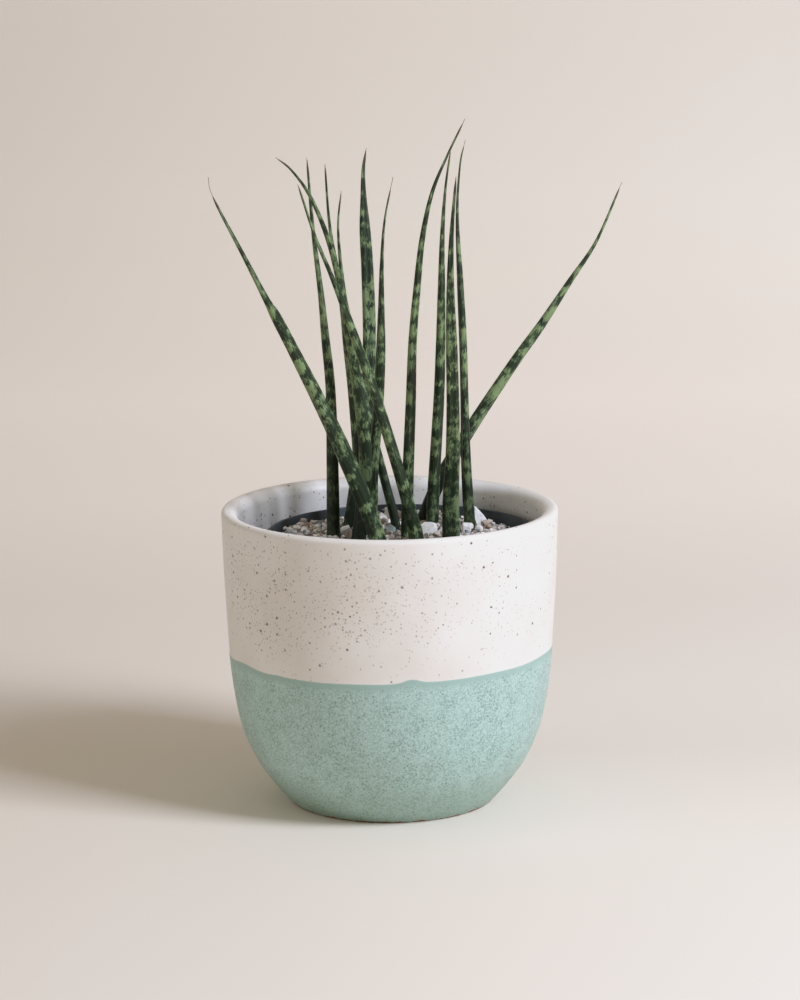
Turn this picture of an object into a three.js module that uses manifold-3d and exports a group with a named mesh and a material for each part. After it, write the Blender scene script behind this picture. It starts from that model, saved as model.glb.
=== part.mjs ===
// A potted fernwood snake plant: thirteen channelled leaves and their rhizome in potting mix,
// a gravel dressing, a thin nursery pot, and the glazed cover pot that it stands in.
// Millimetres, +Z up. The origin is the centre of the cover pot's flat base.

import * as THREE from 'three';
import { LoftGeometry } from 'three/addons/geometries/LoftGeometry.js';
import { mergeVertices } from 'three/addons/utils/BufferGeometryUtils.js';
import Module from 'manifold-3d';

const wasm = await Module();
wasm.setup();

const gap = 0.3; // between pieces that rest on each other
const leafHoleGap = 0.36; // round a leaf where it stands in soil or gravel
const weld = 0.001; // corners closer than this are one corner
const slack = 0.06; // how far a cut surface may be redrawn to save faces

// Cover pot: fired clay, straight above and drawn in like a bowl below
const coverHeight = 134;
const coverRadius = 75.5;
const coverBaseRadius = 46;
const coverFloor = 8;
const lipRadius = 3;
const coverSegments = 40;

// Nursery pot: thin plastic with a collar, a little off the cover pot's axis
const potShift = 5.5;
const potHeight = 114.6;
const potBaseRadius = 38.5;
const potRimRadius = 60.8;
const potWall = 1.3;
const collarHeight = 8;
const collarStep = 1.8;
const potSegments = 40;
const drainRadius = 4;
const drainRing = 24; // radius of the ring that the drain holes lie on
const drainCount = 6;

// Potting mix and the gravel that dresses it
const soilTop = 112;
const gravelTop = 115.6;
const banks = [
  { x: 4, y: 0, width: 34, depth: Infinity, height: 2.6 }, // a ridge along the leaves
  { x: 6, y: 58, width: 30, depth: 16, height: 1.8 },
  { x: -44, y: 22, width: 15, depth: 24, height: 3.6 },
  { x: 50, y: 28, width: 18, depth: 22, height: 1.4 },
];
const beddingDrop = 1.2; // from the pebbles' middling level to the finer bed between them
const pebbleCount = 100;
const pebbleSize = 4.9; // half the length of a middling pebble
const pebbleSink = 0.3; // of the pebble's size
const pebbleSeed = 4;

// Leaves
const leafSides = 10;
const stepsPerSpan = 2;
const channelDepth = 0.34; // of half the leaf's width
const leafFlatness = 0.92; // thickness over width
const holeTop = 128;

// Rhizome: the thick underground stem
const rhizomeTop = 88;
const fingerRadius = 6.5;

const potFloor = coverFloor + gap;
const potTop = potFloor + potHeight;

// A small generator, so that every build draws the same gravel
function seededRandom(seed) {
  let state = seed;
  return () => {
    state = (state * 1664525 + 1013904223) % 4294967296;
    return state / 4294967296;
  };
}

function between(random, low, high) {
  return low + (high - low) * random();
}

function signedVolume(position, triangles) {
  const a = new THREE.Vector3();
  const b = new THREE.Vector3();
  const c = new THREE.Vector3();
  let total = 0;
  for (let i = 0; i < triangles.length; i += 3) {
    a.fromBufferAttribute(position, triangles[i]);
    b.fromBufferAttribute(position, triangles[i + 1]);
    c.fromBufferAttribute(position, triangles[i + 2]);
    total += a.dot(b.cross(c)) / 6;
  }
  return total;
}

// A geometry's bare corners and faces, with the corners that coincide made one
function weldedShape(geometry) {
  const shape = new THREE.BufferGeometry();
  shape.setAttribute('position', geometry.attributes.position);
  shape.setIndex(geometry.index);
  return mergeVertices(shape, weld);
}

// Drops the triangles that a pole or a seam flattens, and faces the rest outwards
function solidFrom(geometry) {
  const welded = weldedShape(geometry);
  const index = welded.index.array;
  const triangles = [];
  for (let i = 0; i < index.length; i += 3) {
    const [a, b, c] = [index[i], index[i + 1], index[i + 2]];
    if (a !== b && b !== c && c !== a) {
      triangles.push(a, b, c);
    }
  }
  if (signedVolume(welded.attributes.position, triangles) < 0) {
    triangles.reverse();
  }
  const vertProperties = new Float32Array(welded.attributes.position.array);
  const triVerts = new Uint32Array(triangles);
  return new wasm.Manifold(new wasm.Mesh({ numProp: 3, vertProperties, triVerts }));
}

function geometryFrom(solid) {
  const mesh = solid.getMesh();
  const geometry = new THREE.BufferGeometry();
  geometry.setAttribute('position', new THREE.BufferAttribute(mesh.vertProperties, 3));
  geometry.setIndex(new THREE.BufferAttribute(mesh.triVerts, 1));
  geometry.computeVertexNormals();
  return geometry;
}

// The largest body of a cut solid, without the loose scraps and the slivers that cutting leaves
function mainBody(solid) {
  const bodies = solid.simplify(slack).decompose();
  bodies.sort((a, b) => b.volume() - a.volume());
  return bodies[0];
}

// Turns an outline of [radius, height] pairs about the Z axis
function turned(outline, segments) {
  const points = outline.map(([radius, height]) => new THREE.Vector2(radius, height));
  return new THREE.LatheGeometry(points, segments).rotateX(Math.PI / 2);
}

// Evenly spaced points on a smooth curve through a few [radius, height] pairs
function smoothOutline(pairs, count) {
  const curve = new THREE.SplineCurve(pairs.map(([radius, height]) => new THREE.Vector2(radius, height)));
  return curve.getSpacedPoints(count).map((point) => [point.x, point.y]);
}

function coverPotGeometry() {
  const lipHeight = coverHeight - lipRadius;
  const lipCentre = coverRadius - lipRadius;
  const outside = smoothOutline([
    [coverBaseRadius, 0],
    [54, 9.3],
    [62, 21.3],
    [68.4, 38],
    [72.2, 63],
    [74.4, 98],
    [coverRadius, lipHeight],
  ], 11);
  const lip = [];
  for (let degrees = 36; degrees <= 144; degrees += 36) {
    const angle = THREE.MathUtils.degToRad(degrees);
    lip.push([lipCentre + lipRadius * Math.cos(angle), lipHeight + lipRadius * Math.sin(angle)]);
  }
  const inside = smoothOutline([
    [lipCentre - lipRadius, lipHeight],
    [68.6, 98],
    [66.4, 63],
    [62.4, 39],
    [55.5, 22],
    [46.6, coverFloor],
  ], 8);
  return turned([[0, 0], ...outside, ...lip, ...inside, [0, coverFloor]], coverSegments);
}

// The nursery pot's inner radius at a height above its base
function potInnerRadius(height) {
  const wallTop = potHeight - collarHeight;
  const wallTopRadius = potRimRadius - collarStep - potWall;
  return potBaseRadius - potWall + (wallTopRadius - potBaseRadius + potWall) * (height / wallTop);
}

function nurseryPotGeometry() {
  const wallTop = potHeight - collarHeight;
  const outline = [
    [0, 0],
    [potBaseRadius - 1, 0],
    [potBaseRadius, 1],
    [potInnerRadius(wallTop) + potWall, wallTop],
    [potRimRadius - 0.4, wallTop + 1],
    [potRimRadius, potHeight],
    [potRimRadius - potWall, potHeight],
    [potRimRadius - potWall - 0.4, wallTop + 2.4],
    [potInnerRadius(wallTop), wallTop + 1.2],
    [potInnerRadius(potWall), potWall],
    [0, potWall],
  ];
  let pot = solidFrom(turned(outline, potSegments));
  for (let i = 0; i < drainCount; i += 1) {
    const angle = (i / drainCount) * Math.PI * 2;
    const drain = new THREE.CylinderGeometry(drainRadius, drainRadius, potWall * 4, 12);
    drain.rotateX(Math.PI / 2);
    drain.translate(drainRing * Math.cos(angle), drainRing * Math.sin(angle), 0);
    pot = pot.subtract(solidFrom(drain));
  }
  return geometryFrom(pot);
}

// Each leaf's route from the rhizome to its tip as [x, y, z, width], and the way its channel faces
const leaves = [
  { name: 'leaf_far_left', channel: -25, route: [
    [4, -12, 82, 6.6], [-1, -13, 104, 7.4], [-8, -15, 131, 8], [-20.5, -20, 164, 7.6], [-30.5, -26, 187, 6.3],
    [-41, -33, 210, 5.3], [-48, -37, 225, 4.8], [-52.5, -40, 234, 3], [-61, -44, 252, 2], [-74, -49, 279, 1],
    [-76, -50, 288, 0.8],
  ] },
  { name: 'leaf_left_upright', channel: 50, route: [
    [-25.5, 11, 82, 5.4], [-25.5, 12, 119, 5.9], [-25.5, 13.5, 150, 5.4], [-26, 16, 184, 4.5],
    [-28, 18, 207, 3.8], [-30, 20, 229, 2.7], [-33, 23.5, 255, 1.8], [-35.5, 27, 288, 0.8],
  ] },
  { name: 'leaf_curled_tip', channel: 20, route: [
    [-17, -1, 82, 6], [-14, 0, 117, 7.2], [-11, 1, 142, 6.9], [-10.5, 0, 162, 6.4], [-13, -2, 184, 5.6],
    [-16, -5, 206, 4.6], [-19.5, -8, 229, 3.6], [-25, -12, 254, 2.7], [-33, -16, 275, 1.8], [-41, -18, 287, 1.1],
    [-48, -19, 293, 0.8],
  ] },
  { name: 'leaf_crossing', channel: -30, route: [
    [19, -7, 82, 5.6], [13, -9, 116, 6.9], [9.5, -12, 133, 6.2], [5.5, -15, 149, 5.5], [-5, -22, 186, 4.8],
    [-14, -28, 214, 3.9], [-19, -31, 229, 3.1], [-24.5, -35, 244, 2], [-31, -39, 261, 1.4], [-38, -44, 284, 0.8],
  ] },
  { name: 'leaf_behind_crossing', channel: 35, route: [
    [-10, 9, 82, 5.8], [-11.5, 9, 116, 6.6], [-12.5, 9, 142, 6.3], [-15, 8.5, 181, 5.8], [-17.5, 7.5, 204, 4.8],
    [-20, 6, 227, 3.5], [-25, 3, 258, 1.5], [-27, 0, 288, 0.8],
  ] },
  { name: 'leaf_inner_left', channel: 10, route: [
    [9, 24, 82, 4.2], [3.5, 26, 118, 4.8], [-3, 28.5, 145, 4.6], [-9, 31, 168, 4.6], [-13.5, 33.5, 188, 4.4],
    [-17, 36, 209, 3.5], [-20, 38.5, 228, 2.4], [-22, 42, 254, 1.2], [-20.5, 45, 271, 0.8],
  ] },
  { name: 'leaf_broad', channel: -80, route: [
    [-23, 31, 82, 4.8], [-18.5, 32, 116, 5.7], [-12, 35.5, 156, 6.1], [-9.5, 39, 176, 5.9], [-8.5, 44, 204, 5.5],
    [-9, 49, 232, 5.2], [-10, 52.5, 252, 4.6], [-10.5, 55, 266, 2.7], [-10.5, 57, 279, 1.5], [-9, 59, 289, 0.8],
  ] },
  { name: 'leaf_slim_centre', channel: 190, route: [
    [-7, 17, 82, 5], [-8, 18.5, 120, 5.9], [-7.5, 20, 148, 5.6], [-5, 20, 174, 5.4], [-3.5, 19, 200, 4.9],
    [-3, 17, 220, 3.4], [-2.5, 15, 241, 2.1], [-1, 13, 261, 1.1], [3, 10, 281, 0.8],
  ] },
  { name: 'leaf_tallest', channel: -50, route: [
    [6.5, 1.5, 82, 4.6], [7.5, 1, 116, 5.2], [8.5, 0.5, 148, 5.1], [10, -2, 183, 4.5], [11, -4, 209, 3.8],
    [13, -6, 232, 3.3], [15.5, -8, 255, 2.5], [20, -10.5, 276, 1.7], [27, -12.5, 293, 1], [34.5, -14, 308.5, 0.8],
  ] },
  { name: 'leaf_right_centre', channel: -35, route: [
    [18, 31, 82, 5], [19.5, 32, 118, 6], [20.5, 32, 138, 5.7], [23, 31, 177, 5.1], [24, 30.5, 204, 4.5],
    [24.5, 30, 228, 3.5], [25, 30, 252, 2.2], [26.5, 30, 273, 1.2], [29, 30, 291, 0.8],
  ] },
  { name: 'leaf_front', channel: -85, route: [
    [27, 0.5, 82, 6.4], [27.5, -2, 117, 7.6], [27.5, -4, 138, 7], [28.5, -8, 161, 6], [28.5, -13, 184, 5.4],
    [28, -19, 210, 4.8], [27.5, -25, 235, 3.3], [28, -31, 259, 1.9], [30, -38, 286, 0.8],
  ] },
  { name: 'leaf_right_upright', channel: 200, route: [
    [38.5, 23, 82, 4.8], [36.5, 25, 118, 5.7], [35, 28, 147, 5.1], [34.5, 32, 176, 4.1], [34, 36, 204, 3.9],
    [33, 40, 230, 3.2], [32, 45, 260, 1.5], [33.5, 48, 282, 0.9], [36, 50, 293, 0.8],
  ] },
  { name: 'leaf_far_right', channel: 150, route: [
    [3, 36, 82, 4.8], [9, 37, 102, 5.6], [20, 41, 131, 5.9], [32.5, 45.5, 153, 5.6], [56, 55, 187, 4.6],
    [70.5, 61, 206, 3.9], [84.5, 67, 226, 2.5], [97, 72, 244, 1.4], [109, 79, 270, 0.8],
  ] },
];

// Half the leaf's width in each direction round its section; the channel sinks the side that faces it
function sectionRadius(angle, width, grooved) {
  const facing = Math.max(0, Math.cos(angle));
  const groove = grooved ? channelDepth * Math.pow(facing, 6) : 0;
  return (width / 2) * (1 - groove);
}

// Loft sections along a leaf; swell widens them all round for the hole that the leaf stands in
function leafSections({ channel, route }, swell = 0) {
  const points = route.map(([x, y, z]) => new THREE.Vector3(x, y, z));
  const curve = new THREE.CatmullRomCurve3(points, false, 'catmullrom', 0.5);
  const facing = THREE.MathUtils.degToRad(channel);
  const channelWay = new THREE.Vector3(Math.cos(facing), Math.sin(facing), 0);
  const steps = (route.length - 1) * stepsPerSpan;
  const sections = [];
  for (let step = 0; step <= steps; step += 1) {
    const span = Math.min(Math.floor(step / stepsPerSpan), route.length - 2);
    const blend = step / stepsPerSpan - span;
    const width = THREE.MathUtils.lerp(route[span][3], route[span + 1][3], blend);
    const centre = curve.getPoint(step / steps);
    const along = curve.getTangent(step / steps);
    const front = channelWay.clone().projectOnPlane(along).normalize();
    const side = new THREE.Vector3().crossVectors(along, front);
    const section = [];
    for (let i = 0; i < leafSides; i += 1) {
      const angle = (i / leafSides) * Math.PI * 2;
      const radius = sectionRadius(angle, width, swell === 0) + swell;
      section.push(centre.clone()
        .addScaledVector(front, radius * Math.cos(angle) * (swell === 0 ? leafFlatness : 1))
        .addScaledVector(side, radius * Math.sin(angle)));
    }
    sections.push(section);
    if (swell > 0 && centre.z > holeTop) {
      break;
    }
  }
  return sections;
}

function leafSolid(leaf, swell) {
  return solidFrom(new LoftGeometry(leafSections(leaf, swell), { capStart: true, capEnd: true }));
}

// The rhizome's short fat fingers, [x, y] to [x, y], joined where they meet
const rhizomeFingers = [
  [[-24, 31], [-4, 16]],
  [[-26, 11], [-6, 10]],
  [[-17, -2], [-8, 12]],
  [[3, -13], [-8, 12]],
  [[1, 37], [19, 30]],
  [[-6, 14], [39, 24]],
  [[4, 2], [29, -2]],
];

function rhizomeSolid(swell) {
  const fingers = rhizomeFingers.map(([[x0, y0], [x1, y1]]) => {
    const length = Math.hypot(x1 - x0, y1 - y0);
    const finger = new THREE.CapsuleGeometry(fingerRadius + swell, length, 2, 8);
    finger.rotateZ(Math.PI / 2);
    finger.rotateZ(Math.atan2(y1 - y0, x1 - x0));
    finger.translate((x0 + x1) / 2, (y0 + y1) / 2, rhizomeTop - fingerRadius);
    return solidFrom(finger);
  });
  return fingers.reduce((joined, finger) => joined.add(finger));
}

// A stone from a ball of flat faces, its corners drawn in and out at random
function roughStone(ball, halfSizes, roughness, random) {
  const stone = weldedShape(ball);
  const corner = new THREE.Vector3();
  const position = stone.attributes.position;
  for (let i = 0; i < position.count; i += 1) {
    corner.fromBufferAttribute(position, i);
    corner.multiplyScalar(between(random, 1 - roughness, 1 + roughness));
    position.setXYZ(i, corner.x * halfSizes[0], corner.y * halfSizes[1], corner.z * halfSizes[2]);
  }
  return stone;
}

// White stones that lie half sunk among the gravel: place, half sizes and turns in degrees
const stones = [
  { name: 'stone_slab', at: [-19.4, 19, 118], size: [3.2, 4, 3.4], turn: [10, -8, 20], seed: 3 },
  { name: 'stone_centre', at: [0.2, 17.5, 119.4], size: [2.7, 2.7, 2.5], turn: [0, 12, -15], seed: 5 },
  { name: 'stone_between', at: [18, 16.5, 119.6], size: [4.7, 5.6, 3.8], turn: [6, 8, 12], seed: 8 },
  { name: 'stone_right', at: [40.5, 34.5, 121.6], size: [4.2, 4, 5.4], turn: [8, -20, 25], seed: 11 },
  { name: 'stone_low_right', at: [34.8, 18.5, 119.8], size: [2.6, 2.6, 2.8], turn: [0, 0, 30], seed: 14 },
];

function stoneGeometry({ at, size, turn, seed }, swell = 0) {
  const ball = new THREE.IcosahedronGeometry(1, 1);
  const stone = roughStone(ball, size.map((half) => half + swell), 0.1, seededRandom(seed));
  const [x, y, z] = turn.map((degrees) => THREE.MathUtils.degToRad(degrees));
  stone.applyMatrix4(new THREE.Matrix4().makeRotationFromEuler(new THREE.Euler(x, y, z)));
  return stone.translate(...at);
}

// How high the gravel lies: banked up round the leaves and against the pot's back, left and right
function moundHeight(x, y) {
  const rises = banks.map((bank) => {
    const across = (x - bank.x) / bank.width;
    const along = (y - bank.y) / bank.depth;
    return bank.height * Math.exp(-(across ** 2) - along ** 2);
  });
  return rises.reduce((height, rise) => height + rise, gravelTop);
}

// Space inside the nursery pot between two heights, a gap clear of its wall
function potFilling(bottom, top, rings) {
  const edge = (height) => potInnerRadius(height - potFloor) - gap;
  const outline = [[0, bottom], [edge(bottom), bottom], [edge(top), top]];
  for (let ring = rings - 1; ring >= 0; ring -= 1) {
    outline.push([(edge(top) * ring) / rings, top]);
  }
  return turned(outline, potSegments).translate(potShift, 0, 0);
}

function gravelBed() {
  const bed = potFilling(soilTop + gap, gravelTop, 3);
  const position = bed.attributes.position;
  for (let i = 0; i < position.count; i += 1) {
    if (position.getZ(i) > gravelTop - weld) {
      position.setZ(i, moundHeight(position.getX(i), position.getY(i)) - beddingDrop);
    }
  }
  return solidFrom(bed);
}

// Pebbles on a sunflower spiral, so that they cover the bed, each turned and sized at random
function pebbles() {
  const random = seededRandom(pebbleSeed);
  const spread = potInnerRadius(gravelTop - potFloor) - pebbleSize * 0.7;
  const goldenAngle = Math.PI * (3 - Math.sqrt(5));
  const solids = [];
  for (let i = 0; i < pebbleCount; i += 1) {
    const reach = spread * Math.sqrt((i + 0.5) / pebbleCount);
    const x = potShift + reach * Math.cos(i * goldenAngle) + between(random, -0.5, 0.5);
    const y = reach * Math.sin(i * goldenAngle) + between(random, -0.5, 0.5);
    const size = pebbleSize * between(random, 0.8, 1.3);
    const halfSizes = [size, size * between(random, 0.7, 0.95), size * between(random, 0.6, 0.8)];
    const pebble = roughStone(new THREE.OctahedronGeometry(1, 0), halfSizes, 0.12, random);
    const lean = [between(random, -0.5, 0.5), between(random, -0.5, 0.5)];
    const turn = new THREE.Euler(...lean, between(random, 0, Math.PI * 2));
    pebble.applyMatrix4(new THREE.Matrix4().makeRotationFromEuler(turn));
    pebble.translate(x, y, moundHeight(x, y) - size * pebbleSink);
    solids.push(solidFrom(pebble));
  }
  return solids;
}

function material(color, roughness) {
  return new THREE.MeshStandardMaterial({ color, roughness, metalness: 0 });
}

const finishes = {
  glaze: material('#e6e2d8', 0.35),
  plastic: material('#2f343b', 0.55),
  soil: material('#3b2d23', 0.95),
  gravel: material('#b7a48f', 0.85),
  stone: material('#e4e1da', 0.7),
  rhizome: material('#b98f5e', 0.7),
  leaf: material('#4c6b43', 0.5),
};

const plant = new THREE.Group();

function addPiece(name, geometry, finish) {
  const mesh = new THREE.Mesh(geometry, finishes[finish]);
  mesh.name = name;
  plant.add(mesh);
  return mesh;
}

addPiece('cover_pot', geometryFrom(solidFrom(coverPotGeometry())), 'glaze');
addPiece('nursery_pot', nurseryPotGeometry(), 'plastic').position.set(potShift, 0, potFloor);

const rhizome = rhizomeSolid(0);
const rhizomeRoom = rhizomeSolid(gap);
addPiece('rhizome', geometryFrom(rhizome), 'rhizome');

const leafHoles = leaves.map((leaf) => leafSolid(leaf, leafHoleGap));
const plantRoom = leafHoles.reduce((room, hole) => room.add(hole), rhizomeRoom);

const mix = solidFrom(potFilling(potFloor + potWall + gap, soilTop, 1));
addPiece('soil', geometryFrom(mainBody(mix.subtract(plantRoom))), 'soil');

const insidePot = solidFrom(potFilling(soilTop + gap, potTop + 8, 1));
const stoneRooms = stones.map((stone) => solidFrom(stoneGeometry(stone, gap)));
let gravel = pebbles().reduce((bed, pebble) => bed.add(pebble), gravelBed());
gravel = gravel.intersect(insidePot).subtract(plantRoom);
gravel = stoneRooms.reduce((bed, room) => bed.subtract(room), gravel);
addPiece('gravel', geometryFrom(mainBody(gravel)), 'gravel');

for (const stone of stones) {
  const whole = solidFrom(stoneGeometry(stone));
  addPiece(stone.name, geometryFrom(mainBody(whole.subtract(plantRoom))), 'stone');
}

for (const leaf of leaves) {
  addPiece(leaf.name, geometryFrom(mainBody(leafSolid(leaf, 0).subtract(rhizomeRoom))), 'leaf');
}

export default plant;
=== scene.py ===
import functools
import itertools
import math
import random

import bmesh
import bpy
from mathutils import Euler, Matrix, Vector, noise


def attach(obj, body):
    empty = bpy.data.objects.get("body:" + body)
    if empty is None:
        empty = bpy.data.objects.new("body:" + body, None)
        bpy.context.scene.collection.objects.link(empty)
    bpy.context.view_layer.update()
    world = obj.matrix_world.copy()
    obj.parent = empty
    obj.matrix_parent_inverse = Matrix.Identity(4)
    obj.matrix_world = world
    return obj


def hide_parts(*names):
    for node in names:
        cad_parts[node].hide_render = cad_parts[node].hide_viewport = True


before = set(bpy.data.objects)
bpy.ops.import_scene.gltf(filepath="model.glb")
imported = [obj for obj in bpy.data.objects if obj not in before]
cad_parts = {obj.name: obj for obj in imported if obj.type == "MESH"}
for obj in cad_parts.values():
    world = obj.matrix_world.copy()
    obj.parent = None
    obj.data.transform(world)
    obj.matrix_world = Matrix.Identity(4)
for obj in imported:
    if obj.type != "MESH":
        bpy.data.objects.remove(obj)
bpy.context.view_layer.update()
scene = bpy.context.scene
mm = 0.001
print("frame loaded:", len(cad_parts), "nodes")


# Camera: a long lens at the height of a standing viewer's hand, looking slightly down
view = {
    "position": (0.0, -1583.96, 452.68),
    "turn": (78.722, 0.506, -0.273),  # degrees
    "lens": 162.07,
    "sensorWidth": 36.0,
    "clipEnd": 20.0,  # metres
}


def placeCamera():
    lens = bpy.data.cameras.new("photoCamera")
    lens.sensor_fit = "HORIZONTAL"
    lens.sensor_width = view["sensorWidth"]
    lens.lens = view["lens"]
    lens.clip_end = view["clipEnd"]
    camera = bpy.data.objects.new("photoCamera", lens)
    camera.location = Vector(view["position"]) * mm
    camera.rotation_euler = [math.radians(angle) for angle in view["turn"]]
    scene.collection.objects.link(camera)
    scene.camera = camera


# Shared by every piece and finish

def linearColour(hexText):  # sRGB hex to the linear colour that Blender works in
    parts = [int(hexText[i:i + 2], 16) / 255 for i in (1, 3, 5)]
    return [c / 12.92 if c <= 0.04045 else ((c + 0.055) / 1.055) ** 2.4 for c in parts] + [1.0]


def cellsPerMetre(size):  # texture scale for a feature this many millimetres across
    return 1 / (size * mm)


def liveOutput(node):
    return next(output for output in node.outputs if output.enabled)


def addNode(tree, kind, inputs=None, stops=(), **settings):  # with its settings, ramp stops, values and links
    node = tree.nodes.new("ShaderNode" + kind)
    for setting, value in settings.items():
        setattr(node, setting, value)
    for i, (place, colour) in enumerate(stops):
        stop = node.color_ramp.elements[i] if i < 2 else node.color_ramp.elements.new(place)
        stop.position = place
        stop.color = linearColour(colour)
    for name, value in (inputs or {}).items():
        if isinstance(name, str):
            socket = next(s for s in node.inputs if s.enabled and s.name == name)
        else:
            socket = node.inputs[name]
        if isinstance(value, bpy.types.Node):
            value = liveOutput(value)
        if isinstance(value, bpy.types.NodeSocket):
            tree.links.new(value, socket)
        else:
            socket.default_value = value
    return node


def newMaterial(name, roughness=0.5, ior=1.5):  # the material and what adds a node to it
    material = bpy.data.materials.new(name)
    material.use_nodes = True
    shader = material.node_tree.nodes["Principled BSDF"]
    shader.inputs["Roughness"].default_value = roughness
    shader.inputs["IOR"].default_value = ior
    return material, functools.partial(addNode, material.node_tree)


def laidOver(add, colour, layers):  # each layer is a mask and the colour that shows where the mask is 1
    for mask, layer in layers:
        layer = linearColour(layer) if isinstance(layer, str) else layer
        colour = add("Mix", {"Factor": mask, "A": colour, "B": layer}, data_type="RGBA")
    return colour


def wearColour(material, colour, roughness=None, height=None, depth=0.1):  # depth of the relief in mm
    tree = material.node_tree
    shader = tree.nodes["Principled BSDF"]
    tree.links.new(liveOutput(colour), shader.inputs["Base Color"])
    if roughness is not None:
        tree.links.new(liveOutput(roughness), shader.inputs["Roughness"])
    if height is not None:
        bump = addNode(tree, "Bump", {"Height": height, "Distance": depth * mm, "Strength": 1.0})
        tree.links.new(bump.outputs["Normal"], shader.inputs["Normal"])


def grainyMaterial(name, roughness, size, stops, depth):  # grains size mm across, each of a colour of its own
    material, add = newMaterial(name, roughness)
    place = add("TexCoord").outputs["Object"]
    grains = add("TexVoronoi", {"Vector": place, "Scale": cellsPerMetre(size)})
    kind = add("SeparateColor", {"Color": grains.outputs["Color"]})
    colour = add("ValToRGB", {"Fac": kind.outputs["Red"]}, stops)
    wearColour(material, colour, None, grains, depth)
    return material


def cloudedMaterial(name, roughness, ior, cloud, stops, grain, depth):  # cloud and grain: mm and settings
    material, add = newMaterial(name, roughness, ior)
    place = add("TexCoord").outputs["Object"]
    clouds, relief = [add("TexNoise", {"Vector": place, "Scale": cellsPerMetre(size), **settings})
                      for size, settings in (cloud, grain)]
    wearColour(material, add("ValToRGB", {"Fac": clouds}, stops), None, relief, depth)
    return material


def meshFrom(bm, name):
    mesh = bpy.data.meshes.new(name)
    bm.to_mesh(mesh)
    bm.free()
    return mesh


def linkedObject(name, data):
    thing = bpy.data.objects.new(name, data)
    scene.collection.objects.link(thing)
    return thing


def finishedPiece(bm, name, material, replaced=(), creaseAngle=40):
    bmesh.ops.recalc_face_normals(bm, faces=bm.faces)
    for face in bm.faces:
        face.smooth = True
    for edge in bm.edges:
        if len(edge.link_faces) == 2 and edge.calc_face_angle() > math.radians(creaseAngle):
            edge.smooth = False
    piece = linkedObject(name, meshFrom(bm, name))
    piece.data.materials.append(material)
    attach(piece, "root")
    if replaced:
        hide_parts(*replaced)


def smoothThrough(points, share):  # a place on the smooth curve through the points, share from 0 to 1
    spans = len(points) - 1
    span = min(int(share * spans), spans - 1)
    t = share * spans - span
    here, there = Vector(points[span]), Vector(points[span + 1])
    before = Vector(points[span - 1]) if span > 0 else 2 * here - there
    after = Vector(points[span + 2]) if span + 2 <= spans else 2 * there - here
    leaving, arriving = (there - before) / 2, (after - here) / 2
    return ((2 * t**3 - 3 * t**2 + 1) * here + (t**3 - 2 * t**2 + t) * leaving
            + (3 * t**2 - 2 * t**3) * there + (t**3 - t**2) * arriving)


def spunShell(profile, segments):  # a closed solid from (radius, height) points that end on the axis
    bm = bmesh.new()
    corners = [bm.verts.new((radius * mm, 0, height * mm)) for radius, height in profile]
    line = [bm.edges.new(pair) for pair in zip(corners, corners[1:])]
    bmesh.ops.spin(bm, geom=corners + line, cent=(0, 0, 0), axis=(0, 0, 1), angle=math.tau,
                   steps=segments, use_merge=True)
    bmesh.ops.remove_doubles(bm, verts=bm.verts, dist=0.01 * mm)
    return bm


def roundedCorner(centre, radius, start, end, steps):  # (radius, height) points round an arc, in degrees
    angles = [math.radians(start + (end - start) * i / steps) for i in range(steps + 1)]
    return [(centre[0] + radius * math.cos(a), centre[1] + radius * math.sin(a)) for a in angles]


# Cover pot: thrown stoneware, dipped in cream glaze and then, foot down, in aqua
coverPot = {
    "outside": [(54, 9.3), (62, 21.3), (68.4, 38), (72.2, 63), (74.4, 98), (75.5, 131.9)],
    "inside": [(68, 128.6), (67.9, 98), (66.4, 63), (62.4, 39), (55.5, 22), (46.6, 8)],
    "baseRadius": 46,
    "baseRings": [0, 20, 40],
    "footRound": 0.9,
    "lipRadius": 2.1,  # outwards; inwards it rounds down to where the inside begins
    "floor": 8,
    "floorRing": 30,
    "segments": 192,
    "outsideRows": 150,
    "insideRows": 30,
    "lipRows": 12,
    "glazeLine": 70.1,  # height of the dip's edge
    "glazeTilt": 1.3,  # rise from the left side to the right
    "glazeWave": 0.55,
    "glazeWaves": 2.6,  # how fine the wave is
    "glazeThickness": 0.22,
    "glazeEdge": 0.9,  # height over which the dip's edge thins out
    "glazeFoot": 3,  # height by which it has its full thickness
    "runs": [(-83, 4.2, 1.7), (-153, 12, 1.2), (-133, 4, 0.4)],  # azimuth in degrees, width and rise
    "throwingWobble": 0.12,
    "wobbleHeight": 45,
    "wobbleDetail": 1.7,
    "wobbled": (60, 30),  # vertices further out or lower than this: the walls and the foot
    "glazedOutside": (69.6, 60),  # further out or lower than this: the outside alone
}


def glazeLineHeight(azimuth):
    look = coverPot
    wave = noise.noise(Vector((math.cos(azimuth), math.sin(azimuth), 0.4)) * look["glazeWaves"])
    height = look["glazeLine"] + look["glazeTilt"] * math.cos(azimuth) + wave * look["glazeWave"]
    widest = look["outside"][3][0]
    for runAzimuth, width, rise in look["runs"]:
        along = math.remainder(azimuth - math.radians(runAzimuth), math.tau) * widest
        height += rise * math.exp(-((along / width) ** 2))
    return height


def lipProfile():  # a quarter round outside, then a longer rounding down to the inside wall
    look = coverPot
    (topRadius, topHeight), (innerRadius, innerHeight) = look["outside"][-1], look["inside"][0]
    crest = topRadius - look["lipRadius"]
    lip = roundedCorner((crest, topHeight), look["lipRadius"], 0, 90, 7)
    reach, drop = crest - innerRadius, topHeight + look["lipRadius"] - innerHeight
    for i in range(1, look["lipRows"]):
        turn = math.radians(90 * i / look["lipRows"])
        lip.append((crest - reach * math.sin(turn), innerHeight + drop * math.cos(turn)))
    return lip[1:]


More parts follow.
